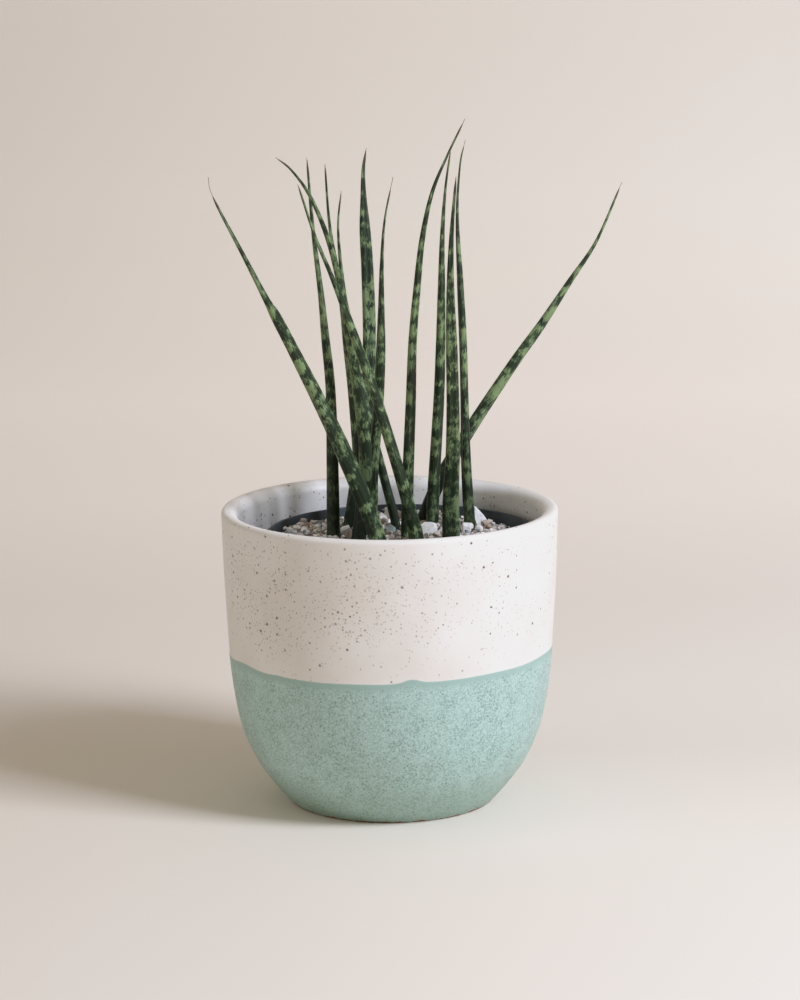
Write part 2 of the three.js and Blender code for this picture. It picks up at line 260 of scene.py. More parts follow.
def makeCoverPot():
    look = coverPot
    corner, rows, innerRows = look["footRound"], look["outsideRows"], look["insideRows"]
    foot = roundedCorner((look["baseRadius"] - corner / 2, corner), corner, -90, -30, 4)
    outsidePoints = [foot[-1]] + look["outside"]
    profile = [(radius, 0) for radius in look["baseRings"]] + foot
    profile += [tuple(smoothThrough(outsidePoints, i / rows)) for i in range(1, rows + 1)]
    profile += lipProfile()
    profile += [tuple(smoothThrough(look["inside"], i / innerRows)) for i in range(innerRows + 1)]
    profile += [(look["floorRing"], look["floor"]), (0, look["floor"])]
    bm = spunShell(profile, look["segments"])
    above = bm.verts.layers.float.new("aboveGlazeLine")
    for vert in bm.verts:
        azimuth = math.atan2(vert.co.y, vert.co.x)
        radius, height = vert.co.xy.length / mm, vert.co.z / mm
        vert[above] = height - glazeLineHeight(azimuth)
        if radius > look["wobbled"][0] or height < look["wobbled"][1]:
            around = Vector((math.cos(azimuth), math.sin(azimuth), height / look["wobbleHeight"]))
            outward = look["throwingWobble"] * noise.noise(around * look["wobbleDetail"])
            if radius > look["glazedOutside"][0] or height < look["glazedOutside"][1]:
                dipped = min(1, max(0, 0.5 - vert[above] / look["glazeEdge"]))
                outward += look["glazeThickness"] * dipped * min(1, height / look["glazeFoot"])
            if height > 0.5:  # the base stays flat
                vert.co.xy *= (radius + outward) / max(radius, 1)
    finishedPiece(bm, "glazed_cover_pot", dippedStoneware(), ["cover_pot"], 60)


glazeLook = {
    "roughness": 0.42,
    "bareRoughness": 0.9,
    "cream": "#f0ece5",
    "creamShade": "#e9e3da",
    "shadeDrift": (28, 0, 1),  # slow noise: size in mm, least and most
    "creamInsidePaintedLight": "#fbf9f3",  # painted light: drawn whiter inside, standing in for light that reaches the inner wall
    "insideEdge": {"From Min": 72.3 * mm, "From Max": 70.5 * mm},
    "ironSpecks": [  # spacing, reach, colour, strength, and a drift of the share of places that hold one
        (1.3, 0.50, "#a6968a", 0.65, (24, 0.25, 0.75)),
        (2.2, 0.70, "#735d4b", 0.75, (24, 0.08, 0.50)),
        (3.9, 0.90, "#33261b", 0.92, (24, 0.05, 0.42)),
    ],
    "rareSpecks": [  # heights in mm over the dip's edge, there and under the lip
        {"From Min": 4, "From Max": 26, "To Min": 0.15},
        {"From Min": 62, "From Max": 52, "To Min": 0.25},
    ],
    "crowdedPlace": (-46, -57, 106),  # where the clay holds the most iron
    "crowding": {"From Min": 70 * mm, "From Max": 15 * mm, "To Min": 1.1, "To Max": 2.3},
    "aqua": "#bedad2",
    "aquaDeep": "#8ba69c",
    "mottle": {"Scale": cellsPerMetre(0.9), "Detail": 5.0, "Roughness": 0.85},
    "mottleEdge": {"From Min": 0.44, "From Max": 0.62},
    "mottleDrift": (7, 0.7, 1.35),
    # greyer green near the base: a real tint, darkened further as painted shade where the pot meets the floor
    "aquaLowAndPaintedShade": "#869f8a",
    "lowHeights": {"From Min": 24 * mm, "From Max": 1 * mm},
    "lowShare": 0.4,
    "aquaDot": "#587467",
    "dots": (1.3, 0.62, 0.2, 0.8),  # spacing, reach, solid share of it and strength
    "dotDrift": (13, 0.15, 0.85),
    "baseFleck": "#b3a878",
    "flecks": (1.2, 0.5, 0.4, 0.7),
    "fleckShare": 0.6,
    "aquaBand": "#a2bfb5",  # plain glaze along the dip's edge
    "band": {"From Min": -4.2, "From Max": -1.6, "To Max": 0.9},
    "dipEdge": {"From Min": -0.25, "From Max": 0.2},
    "clay": "#96683f",
    "bareHeights": {"From Min": 0.75 * mm, "From Max": 0.4 * mm},
    "bareDrift": (5, -0.45 * mm, 0.45 * mm),
    "skin": {"Scale": cellsPerMetre(3.5), "Detail": 3.0},
}


# Satin glazes over speckled clay: soft highlights, and iron specks that bleed up through both
def dippedStoneware():
    look = glazeLook
    material, add = newMaterial("dippedStonewareGlaze", look["roughness"])
    place = add("TexCoord").outputs["Object"]
    height = add("SeparateXYZ", {"Vector": place}).outputs["Z"]
    aboveLine = add("Attribute", attribute_name="aboveGlazeLine").outputs["Fac"]

    def drift(size, low, high):  # slow noise, which is mostly between 0.35 and 0.65, spread over a range
        cloud = add("TexNoise", {"Vector": place, "Scale": cellsPerMetre(size), "Detail": 2.0})
        return add("MapRange", {"Value": cloud, "From Min": 0.35, "From Max": 0.65, "To Min": low,
                                "To Max": high})

    def specks(spacing, reach, core, strength, share):  # round spots, solid out to core of reach
        cells = add("TexVoronoi", {"Vector": place, "Scale": cellsPerMetre(spacing)})
        luck = add("SeparateColor", {"Color": cells.outputs["Color"]})
        held = add("Math", {0: luck.outputs["Red"], 1: share}, operation="LESS_THAN")
        edge = add("MapRange", {"Value": luck.outputs["Green"], "To Min": 0.4 * reach / spacing,
                                "To Max": reach / spacing})
        solid = add("Math", {0: edge, 1: core}, operation="MULTIPLY")
        spot = add("MapRange", {"Value": cells.outputs["Distance"], "From Min": edge, "From Max": solid,
                                "To Max": strength})
        return add("Math", {0: held, 1: spot}, operation="MULTIPLY")

    # the upper glaze: cream, whiter inside as painted light, its specks crowded on the left and rare by the
    # dip and the lip
    level = add("VectorMath", {0: place, 1: (1, 1, 0)}, operation="MULTIPLY")
    fromAxis = add("VectorMath", {0: level}, operation="LENGTH")
    # painted light: from this radius inwards the cream is drawn whiter
    inside = add("MapRange", {"Value": fromAxis, **look["insideEdge"]})
    away = add("VectorMath", {0: place, 1: Vector(look["crowdedPlace"]) * mm}, operation="DISTANCE")
    amount = add("MapRange", {"Value": away, **look["crowding"]})
    for heights in look["rareSpecks"]:
        rare = add("MapRange", {"Value": aboveLine, **heights})
        amount = add("Math", {0: amount, 1: rare}, operation="MULTIPLY")
    layers = [(drift(*look["shadeDrift"]), look["creamShade"]), (inside, look["creamInsidePaintedLight"])]
    for spacing, reach, colour, strength, some in look["ironSpecks"]:
        share = add("Math", {0: drift(*some), 1: amount}, operation="MULTIPLY")
        layers.append((specks(spacing, reach, 0.45, strength, share), colour))
    cream = laidOver(add, linearColour(look["cream"]), layers)

    # the lower glaze: mottled aqua, greyer and darker near the base, partly a real tint and partly painted
    # shade, with dark dots and tan flecks
    mottle = add("TexNoise", {"Vector": place, **look["mottle"]})
    deep = add("MapRange", {"Value": mottle, **look["mottleEdge"], "To Max": drift(*look["mottleDrift"])})
    nearBase = add("MapRange", {"Value": height, **look["lowHeights"]})
    low = add("Math", {0: nearBase, 1: look["lowShare"]}, operation="MULTIPLY")
    flecked = add("Math", {0: nearBase, 1: look["fleckShare"]}, operation="MULTIPLY")
    band = add("MapRange", {"Value": aboveLine, **look["band"]})
    aqua = laidOver(add, linearColour(look["aqua"]), [
        (deep, look["aquaDeep"]), (low, look["aquaLowAndPaintedShade"]),
        (specks(*look["dots"], drift(*look["dotDrift"])), look["aquaDot"]),
        (specks(*look["flecks"], flecked), look["baseFleck"]), (band, look["aquaBand"])])

    # the dip's edge between them, and bare clay where the foot was wiped
    overLine = add("MapRange", {"Value": aboveLine, **look["dipEdge"]})
    footEdge = add("Math", {0: height, 1: drift(*look["bareDrift"])}, operation="ADD")
    bare = add("MapRange", {"Value": footEdge, **look["bareHeights"]})
    glaze = laidOver(add, aqua, [(overLine, cream), (bare, look["clay"])])
    roughness = add("MapRange", {"Value": bare, "To Min": look["roughness"], "To Max": look["bareRoughness"]})
    wearColour(material, glaze, roughness, add("TexNoise", {"Vector": place, **look["skin"]}), 0.05)
    return material


# Nursery pot: a thin moulded liner with a collar and six drain holes
liner = {
    "shift": 5.5,
    "standsOn": 8.3,
    "height": 114.6,
    "baseRadius": 38.5,
    "baseMiddle": [(5, 0), (4, 0.5)],  # distance in from the base's edge, and height, where its middle ends
    "baseRound": 1.2,
    "rimRadius": 60.8,
    "rimRound": 0.5,
    "wall": 1.3,
    "collarHeight": 8,
    "collarStep": 1.8,
    "collarRise": [(0.7, 0.7), (0.4, 1.4)],  # how far in from the rim, and how far over the wall, it rises
    "collarInside": (0.4, 2.4),
    "outsideHeights": [12, 24, 36, 48, 60, 72, 84, 96],
    "insideHeights": [84, 60, 36, 12],
    "drainRadius": 4,
    "drainRing": 24,
    "drainCount": 6,
    "segments": 128,
    "plastic": [(0.35, "#353c40"), (0.7, "#495257")],
}


def linerInnerRadius(height):  # height above its base
    look = liner
    low = look["baseRadius"] - look["wall"]
    high = look["rimRadius"] - look["collarStep"] - look["wall"]
    return low + (high - low) * height / (look["height"] - look["collarHeight"])


def makeLiner():
    look = liner
    base, outer, wall, top = look["baseRadius"], look["rimRadius"], look["wall"], look["height"]
    wallTop = top - look["collarHeight"]
    foot, rim = look["baseRound"], look["rimRound"]
    profile = [(0, 0)] + [(base - distance, height) for distance, height in look["baseMiddle"]]
    profile += roundedCorner((base - foot, foot), foot, -90, -10, 4)
    profile += [(linerInnerRadius(h) + wall, h) for h in look["outsideHeights"] + [wallTop - 0.6]]
    profile += [(outer - distance, wallTop + rise) for distance, rise in look["collarRise"]]
    profile += roundedCorner((outer - rim, top - rim), rim, 0, 90, 4)
    profile += roundedCorner((outer - wall + rim, top - rim), rim, 90, 180, 4)
    distance, rise = look["collarInside"]
    profile += [(outer - wall - distance, wallTop + rise), (linerInnerRadius(wallTop), wallTop + rise / 2)]
    profile += [(linerInnerRadius(h), h) for h in [wallTop - 2] + look["insideHeights"] + [wall]]
    profile.append((0, wall))
    bm = spunShell(profile, look["segments"])
    bmesh.ops.recalc_face_normals(bm, faces=bm.faces)
    drains = bmesh.new()
    for i in range(look["drainCount"]):
        turn = Matrix.Rotation(math.tau * i / look["drainCount"], 4, "Z")
        spot = turn @ Matrix.Translation((look["drainRing"] * mm, 0, 0))
        bmesh.ops.create_cone(drains, cap_ends=True, segments=32, radius1=look["drainRadius"] * mm,
                              radius2=look["drainRadius"] * mm, depth=wall * 4 * mm, matrix=spot)
    bm = cutAway(bm, drains)
    bmesh.ops.translate(bm, verts=bm.verts, vec=(look["shift"] * mm, 0, look["standsOn"] * mm))
    finishedPiece(bm, "moulded_liner", mouldedPlastic(), ["nursery_pot"])


def cutAway(bm, cutter):  # the first bmesh less the second, by a Boolean modifier
    shapes = [linkedObject(name, meshFrom(solid, name)) for name, solid in (("uncut", bm), ("tool", cutter))]
    boolean = shapes[0].modifiers.new("cut", "BOOLEAN")
    boolean.object = shapes[1]
    boolean.solver = "EXACT"
    result = bmesh.new()
    result.from_object(shapes[0], bpy.context.evaluated_depsgraph_get())
    for shape in shapes:
        bpy.data.objects.remove(shape)
    return result


def mouldedPlastic():  # recycled polypropylene: dark slate, low sheen, a faint dusty bloom
    return cloudedMaterial("mouldedPolypropylene", 0.5, 1.49, (9, {"Detail": 4.0}), liner["plastic"],
                           (0.8, {"Detail": 2.0}), 0.04)


# Gravel: a bed of grit, and about two thousand small pebbles in four kinds of stone
gravel = {
    "bottom": 112.3,
    "top": 115.6,
    "banks": [
        {"x": 4, "y": 0, "width": 34, "depth": math.inf, "height": 2.6},  # a ridge along the leaves
        {"x": 6, "y": 58, "width": 30, "depth": 16, "height": 1.8},
        {"x": -44, "y": 22, "width": 15, "depth": 24, "height": 3.6},
        {"x": 50, "y": 28, "width": 18, "depth": 22, "height": 1.4},
    ],
    "bedGap": 0.3,  # to the liner
    "bedDrop": 1.6,
    "bedRings": 40,
    "bedSegments": 128,
    "bedLumps": [(2.2, 0.5), (0.9, 0.25)],  # size and height
    # the grit's colours, darkened as painted shade for the gaps between the pebbles
    "grit": [(0.0, "#1f1b17"), (1.0, "#857b6e"), (0.4, "#312a24"), (0.75, "#564c41")],
    "layers": [  # count, half length of a middling pebble, lowest and highest lift of its middle
        (850, 1.9, -1.3, -0.3),
        (560, 1.65, 0.2, 1.5),
        (620, 0.95, -0.2, 2.2),
    ],
    "lengths": (0.7, 1.4),  # share of the middling one
    "widths": (0.65, 0.95),  # shares of the length
    "heights": (0.5, 0.8),
    "tilt": 0.6,  # radians either way
    "stray": 1,  # mm from its place in the spiral
    "edgeRoom": 1,
    "leafRoom": 0.6,  # share of the pebble's half length that stays clear of leaves and larger stones
    "stoneShare": 0.8,  # of a larger stone's half width that counts as taken
    "standHeight": 1.5,  # over the top, where a leaf's place and width are read
    "roughness": (0.9, 0.28),  # how fine, and how deep
    "kinds": {  # share, finish, palest and darkest colour
        "white": (0.50, "whiteQuartzPebble", "#f5f2ed", "#cfc6ba"),
        "tan": (0.27, "tanSandstonePebble", "#d8ccbe", "#9c8c7c"),
        "rust": (0.05, "rustGranitePebble", "#b59a88", "#7d6253"),
        "grey": (0.18, "greyLimestonePebble", "#b4b7b3", "#6f7472"),
    },
    "placed": [  # kind, place, half sizes and turn of the larger pebbles that lie on top
        ("grey", (-31.6, 34, 118.9), (2.5, 2.1, 2.5), 20),
        ("tan", (-39.6, 33.5, 120.6), (1.8, 1.5, 1.6), 60),
        ("grey", (-41, 25, 119.6), (4.0, 2.4, 1.5), -5),
        ("tan", (43.8, 28.5, 119.9), (2.2, 1.7, 1.5), 35),
        ("rust", (44.6, 26, 118.9), (2.3, 1.6, 1.4), -30),
        ("tan", (46.8, 27, 118.4), (2.0, 1.6, 1.4), 15),
        ("white", (36.2, 20.8, 120.4), (2.2, 1.7, 1.4), 10),
        ("white", (40.6, 23, 118.8), (1.9, 1.6, 1.5), 60),
        ("white", (-7.5, 31, 120.6), (2.0, 1.7, 1.7), 0),
        ("tan", (-2.4, 33, 120.5), (2.2, 1.6, 1.5), 40),
    ],
    "seed": 7,
}


def moundHeight(x, y):
    height = gravel["top"]
    for bank in gravel["banks"]:
        along, back = (x - bank["x"]) / bank["width"], (y - bank["y"]) / bank["depth"]
        height += bank["height"] * math.exp(-(along**2) - back**2)
    return height


def makeGravelBed():
    look = gravel
    bottom, top, rings = look["bottom"], look["top"], look["bedRings"]
    edge = linerInnerRadius(top - liner["standsOn"]) - look["bedGap"]
    profile = [(0, bottom), (linerInnerRadius(bottom - liner["standsOn"]) - look["bedGap"], bottom)]
    profile += [(edge * (1 - i / rings), top) for i in range(rings + 1)]
    bm = spunShell(profile, look["bedSegments"])
    bmesh.ops.translate(bm, verts=bm.verts, vec=(liner["shift"] * mm, 0, 0))
    for vert in bm.verts:
        if vert.co.z > (top - 0.1) * mm:
            lumps = sum(noise.noise(vert.co / (size * mm)) * height for size, height in look["bedLumps"])
            vert.co.z = (moundHeight(vert.co.x / mm, vert.co.y / mm) - look["bedDrop"] + lumps) * mm
    finishedPiece(bm, "grit_bed", coarseGritInPaintedShade(), ["gravel"], 180)


def coarseGritInPaintedShade():  # crushed stone dust and sand between the pebbles: pale grains over dark ones, all darkened as painted shade in the gaps
    return grainyMaterial("coarseStoneGritPaintedShade", 0.9, 0.9, gravel["grit"], 0.3)


def pebbleShapes():  # three shapes about 2 across that every pebble is turned and squashed from
    rounded = bmesh.new()
    bmesh.ops.create_cube(rounded, size=1.5)
    bmesh.ops.subdivide_edges(rounded, edges=rounded.edges, cuts=1, use_grid_fill=True)
    for vert in rounded.verts:
        vert.co = vert.co.lerp(vert.co.normalized(), 0.6)
    chunk = bmesh.new()
    bmesh.ops.create_cube(chunk, size=1.6)
    bmesh.ops.bevel(chunk, geom=chunk.edges, offset=0.3, offset_type="OFFSET", segments=1, profile=0.5,
                    affect="EDGES", material=-1)
    shard = bmesh.new()
    bmesh.ops.create_icosphere(shard, subdivisions=1, radius=1)
    return [meshFrom(bm, name) for name, bm in (("rounded", rounded), ("chunk", chunk), ("shard", shard))]


def addPebble(bm, shape, place, halfSizes, turn, tone):  # place and sizes in mm
    first = len(bm.verts)
    bm.from_mesh(shape)
    bm.verts.ensure_lookup_table()
    toneLayer = bm.verts.layers.float["tone"]
    fine, deep = gravel["roughness"]
    for vert in bm.verts[first:]:
        rough = vert.co + noise.noise_vector(vert.co * fine + Vector(place)) * deep
        squashed = Vector(c * half for c, half in zip(rough, halfSizes))
        vert.co = (Vector(place) + turn.to_matrix() @ squashed) * mm
        vert[toneLayer] = tone


def takenPlaces():  # x, y and radius of each leaf and each larger stone at the top of the gravel
    share, level = gravel["stoneShare"], gravel["top"] + gravel["standHeight"]
    taken = [(*look["at"][:2], share * max(look["half"][:2])) for look in stones.values()]
    for _, route in leaves.values():
        places = (smoothThrough(route, i / 400) for i in range(400))
        stand = next(p for p in places if p.z > level)
        taken.append((stand.x, stand.y, stand.w / 2))
    return taken


def makePebbles():
    look = gravel
    draw = random.Random(look["seed"])
    noise.seed_set(look["seed"])  # without it noise_vector differs in each run
    shapes = pebbleShapes()
    taken = takenPlaces()
    shares = [kind[0] for kind in look["kinds"].values()]
    kinds = {kind: bmesh.new() for kind in look["kinds"]}
    for bm in kinds.values():
        bm.verts.layers.float.new("tone")
    edge = linerInnerRadius(look["top"] - liner["standsOn"])
    golden = math.pi * (3 - math.sqrt(5))
    stray, tilt = look["stray"], look["tilt"]
    for count, middling, lowest, highest in look["layers"]:
        for i in range(count):
            size = middling * draw.uniform(*look["lengths"])
            reach, azimuth = (edge - look["edgeRoom"]) * math.sqrt((i + 0.5) / count), i * golden + middling
            x = liner["shift"] + reach * math.cos(azimuth) + draw.uniform(-stray, stray)
            y = reach * math.sin(azimuth) + draw.uniform(-stray, stray)
            lift = draw.uniform(lowest, highest)
            turn = Euler((draw.uniform(-tilt, tilt), draw.uniform(-tilt, tilt), draw.uniform(0, math.tau)))
            halfSizes = (size, size * draw.uniform(*look["widths"]), size * draw.uniform(*look["heights"]))
            shape = draw.choice(shapes)
            kind = draw.choices(list(kinds), shares)[0]
            tone = draw.random()
            inside = math.hypot(x - liner["shift"], y) + size < edge
            room = size * look["leafRoom"]
            if inside and all(math.hypot(x - atX, y - atY) >= radius + room for atX, atY, radius in taken):
                addPebble(kinds[kind], shape, (x, y, moundHeight(x, y) + lift), halfSizes, turn, tone)
    for kind, place, halfSizes, turn in look["placed"]:
        lying = Euler((0.2, -0.1, math.radians(turn)))
        addPebble(kinds[kind], shapes[0], place, halfSizes, lying, draw.random())
    for kind, bm in kinds.items():
        finishedPiece(bm, kind + "_pebbles", pebbleStone(*look["kinds"][kind][1:]), (), 28)


def pebbleStone(name, pale, dark):  # weathered stone: matt, clouded, each pebble a shade of its own
    material, add = newMaterial(name, 0.75)
    place = add("TexCoord").outputs["Object"]
    tone = add("Attribute", attribute_name="tone").outputs["Fac"]
    cloud = add("TexNoise", {"Vector": place, "Scale": cellsPerMetre(1.6), "Detail": 4.0,
                                       "Roughness": 0.65})
    both = add("Math", {0: cloud.outputs["Fac"], 1: tone}, operation="ADD")
    shade = add("Math", {0: both, 1: 0.6}, operation="MULTIPLY")
    colour = add("ValToRGB", {"Fac": shade}, [(0.3, pale), (0.9, dark)])
    wearColour(material, colour, None, cloud, 0.15)
    return material


# Larger pale stones, half sunk in the gravel; a facet is the way it faces and its distance from the middle
stones = {
    "stone_slab": {
        "at": (-19.4, 19, 118), "half": (3.4, 4, 3.8), "turn": (10, -8, 20), "finish": "marble",
        "facets": [(-0.2, -1, 0.3, 0.58), (-0.25, 0, 1, 0.68), (-1, 0.1, 0, 0.7), (1, -0.2, 0.45, 0.66)]},
    "stone_centre": {
        "at": (0.2, 17.5, 119.4), "half": (2.7, 2.7, 2.5), "turn": (0, 12, -15), "finish": "greenish",
        "facets": [(0.3, -1, 0.3, 0.7), (-0.5, -0.2, 1, 0.7), (1, -0.3, 0.5, 0.75)]},
    "stone_between": {
        "at": (18, 16.5, 119.6), "half": (4.7, 5.6, 3.8), "turn": (6, 8, 12), "finish": "marble",
        "facets": [(-0.5, -0.15, 0.85, 0.56), (-0.05, -1, 0.05, 0.62), (1, -0.3, 0.2, 0.72),
                   (-1, 0, 0.2, 0.8)]},
    "stone_right": {
        "at": (40.5, 34.5, 121.6), "half": (4.2, 4, 5.4), "turn": (8, -20, 25), "finish": "marble",
        "facets": [(0.9, -0.3, 0.55, 0.5), (-1, -0.2, 0.1, 0.7), (0, -1, 0.2, 0.6), (0.3, 1, 0.2, 0.7)]},
    "stone_low_right": {
        "at": (34.8, 18.5, 119.8), "half": (2.6, 2.6, 2.8), "turn": (0, 0, 30), "finish": "marble",
        "facets": [(0, -0.2, 1, 0.75), (-0.6, -1, 0, 0.75), (1, -0.4, 0.3, 0.7)]},
}

stoneLook = {
    "chips": 5,  # small facets at random
    "chipDistance": (0.82, 0.92),
    "unevenness": (2.5, 0.05),  # how fine, and how deep
    "firstSeed": 20,
    "finishes": {  # name, palest and darkest colour
        "marble": ("brokenMarble", "#f5f4f0", "#cdc9c1"),
        "greenish": ("brokenGreenStone", "#aebcb4", "#66776f"),
    },
}


def makeStones():
    finishes = {kind: brokenStone(*finish) for kind, finish in stoneLook["finishes"].items()}
    fine, deep = stoneLook["unevenness"]
    for order, (name, look) in enumerate(stones.items()):
        draw = random.Random(order + stoneLook["firstSeed"])
        bm = bmesh.new()
        bmesh.ops.create_icosphere(bm, subdivisions=4, radius=1)
        facets = [(Vector(facet[:3]).normalized(), facet[3]) for facet in look["facets"]]
        for _ in range(stoneLook["chips"]):
            way = Vector((draw.gauss(0, 1), draw.gauss(0, 1), draw.gauss(0, 1))).normalized()
            facets.append((way, draw.uniform(*stoneLook["chipDistance"])))
        for way, distance in facets:
            everything = bm.verts[:] + bm.edges[:] + bm.faces[:]
            bmesh.ops.bisect_plane(bm, geom=everything, plane_co=way * distance, plane_no=way,
                                   clear_outer=True, dist=0.0001)
            bmesh.ops.holes_fill(bm, edges=[edge for edge in bm.edges if edge.is_boundary])
        bmesh.ops.remove_doubles(bm, verts=bm.verts, dist=0.015)
        bm.normal_update()
        turn = Euler([math.radians(angle) for angle in look["turn"]])
        for vert in bm.verts:
            vert.co += vert.normal * noise.noise(vert.co * fine + Vector(look["at"])) * deep
            turned = turn.to_matrix() @ Vector(c * half for c, half in zip(vert.co, look["half"]))
            vert.co = (Vector(look["at"]) + turned) * mm
        finishedPiece(bm, "broken_" + name, finishes[look["finish"]], [name], 28)


def brokenStone(name, pale, dark):  # freshly broken stone: matt white faces with grey clouds and thin seams
    return cloudedMaterial(name, 0.6, 1.5, (4, {"Detail": 5.0, "Distortion": 1.2}),
                           [(0.45, pale), (0.72, dark)], (0.7, {"Detail": 3.0}), 0.12)


# Leaves: the way that each one's groove faces, in degrees, and its route from the rhizome to the tip,
# as places with the leaf's width there: x, y, z, width
leaves = {
    "leaf_far_left": (-25, [
        (4, -12, 82, 6.6), (-1, -13, 104, 7.4), (-8, -15, 131, 8), (-20.5, -20, 164, 7.6),
        (-30.5, -26, 187, 6.3), (-41, -33, 210, 5.3), (-48, -37, 225, 4.8), (-52.5, -40, 234, 3),
        (-61, -44, 252, 2), (-74, -49, 279, 1), (-76, -50, 288, 0.8)]),
    "leaf_left_upright": (50, [
        (-25.5, 11, 82, 5.4), (-25.5, 12, 119, 5.9), (-25.5, 13.5, 150, 5.4), (-26, 16, 184, 4.5),
        (-28, 18, 207, 3.8), (-30, 20, 229, 2.7), (-33, 23.5, 255, 1.8), (-35.5, 27, 288, 0.8)]),
    "leaf_curled_tip": (20, [
        (-17, -1, 82, 6), (-14, 0, 117, 7.2), (-11, 1, 142, 6.9), (-10.5, 0, 162, 6.4),
        (-13, -2, 184, 5.6), (-16, -5, 206, 4.6), (-19.5, -8, 229, 3.6), (-25, -12, 254, 2.7),
        (-33, -16, 275, 1.8), (-41, -18, 287, 1.1), (-48, -19, 293, 0.8)]),
    "leaf_crossing": (-30, [
        (19, -7, 82, 5.6), (13, -9, 116, 6.9), (9.5, -12, 133, 6.2), (5.5, -15, 149, 5.5),
        (-5, -22, 186, 4.8), (-14, -28, 214, 3.9), (-19, -31, 229, 3.1), (-24.5, -35, 244, 2),
        (-31, -39, 261, 1.4), (-38, -44, 284, 0.8)]),
    "leaf_behind_crossing": (35, [
        (-10, 9, 82, 5.8), (-11.5, 9, 116, 6.6), (-12.5, 9, 142, 6.3), (-15, 8.5, 181, 5.8),
        (-17.5, 7.5, 204, 4.8), (-20, 6, 227, 3.5), (-25, 3, 258, 1.5), (-27, 0, 288, 0.8)]),
    "leaf_inner_left": (10, [
        (9, 24, 82, 4.2), (3.5, 26, 118, 4.8), (-3, 28.5, 145, 4.6), (-9, 31, 168, 4.6),
        (-13.5, 33.5, 188, 4.4), (-17, 36, 209, 3.5), (-20, 38.5, 228, 2.4), (-22, 42, 254, 1.2),
        (-20.5, 45, 271, 0.8)]),
    "leaf_broad": (-80, [
        (-23, 31, 82, 4.8), (-18.5, 32, 116, 5.7), (-12, 35.5, 156, 6.1), (-9.5, 39, 176, 5.9),
        (-8.5, 44, 204, 5.5), (-9, 49, 232, 5.2), (-10, 52.5, 252, 4.6), (-10.5, 55, 266, 2.7),
        (-10.5, 57, 279, 1.5), (-9, 59, 289, 0.8)]),
    "leaf_slim_centre": (190, [
        (-7, 17, 82, 5), (-8, 18.5, 120, 5.9), (-7.5, 20, 148, 5.6), (-5, 20, 174, 5.4),
        (-3.5, 19, 200, 4.9), (-3, 17, 220, 3.4), (-2.5, 15, 241, 2.1), (-1, 13, 261, 1.1),
        (3, 10, 281, 0.8)]),
    "leaf_tallest": (-50, [
        (6.5, 1.5, 82, 4.6), (7.5, 1, 116, 5.2), (8.5, 0.5, 148, 5.1), (10, -2, 183, 4.5),
        (11, -4, 209, 3.8), (13, -6, 232, 3.3), (15.5, -8, 255, 2.5), (20, -10.5, 276, 1.7),
        (27, -12.5, 293, 1), (34.5, -14, 308.5, 0.8)]),
    "leaf_right_centre": (-35, [
        (18, 31, 82, 5), (19.5, 32, 118, 6), (20.5, 32, 138, 5.7), (23, 31, 177, 5.1),
        (24, 30.5, 204, 4.5), (24.5, 30, 228, 3.5), (25, 30, 252, 2.2), (26.5, 30, 273, 1.2),
        (29, 30, 291, 0.8)]),
    "leaf_front": (-85, [
        (27, 0.5, 82, 6.4), (27.5, -2, 117, 7.6), (27.5, -4, 138, 7), (28.5, -8, 161, 6),
        (28.5, -13, 184, 5.4), (28, -19, 210, 4.8), (27.5, -25, 235, 3.3), (28, -31, 259, 1.9),
        (30, -38, 286, 0.8)]),
    "leaf_right_upright": (200, [
        (38.5, 23, 82, 4.8), (36.5, 25, 118, 5.7), (35, 28, 147, 5.1), (34.5, 32, 176, 4.1),
        (34, 36, 204, 3.9), (33, 40, 230, 3.2), (32, 45, 260, 1.5), (33.5, 48, 282, 0.9),
        (36, 50, 293, 0.8)]),
    "leaf_far_right": (150, [
        (3, 36, 82, 4.8), (9, 37, 102, 5.6), (20, 41, 131, 5.9), (32.5, 45.5, 153, 5.6),
        (56, 55, 187, 4.6), (70.5, 61, 206, 3.9), (84.5, 67, 226, 2.5), (97, 72, 244, 1.4),
        (109, 79, 270, 0.8)]),
}

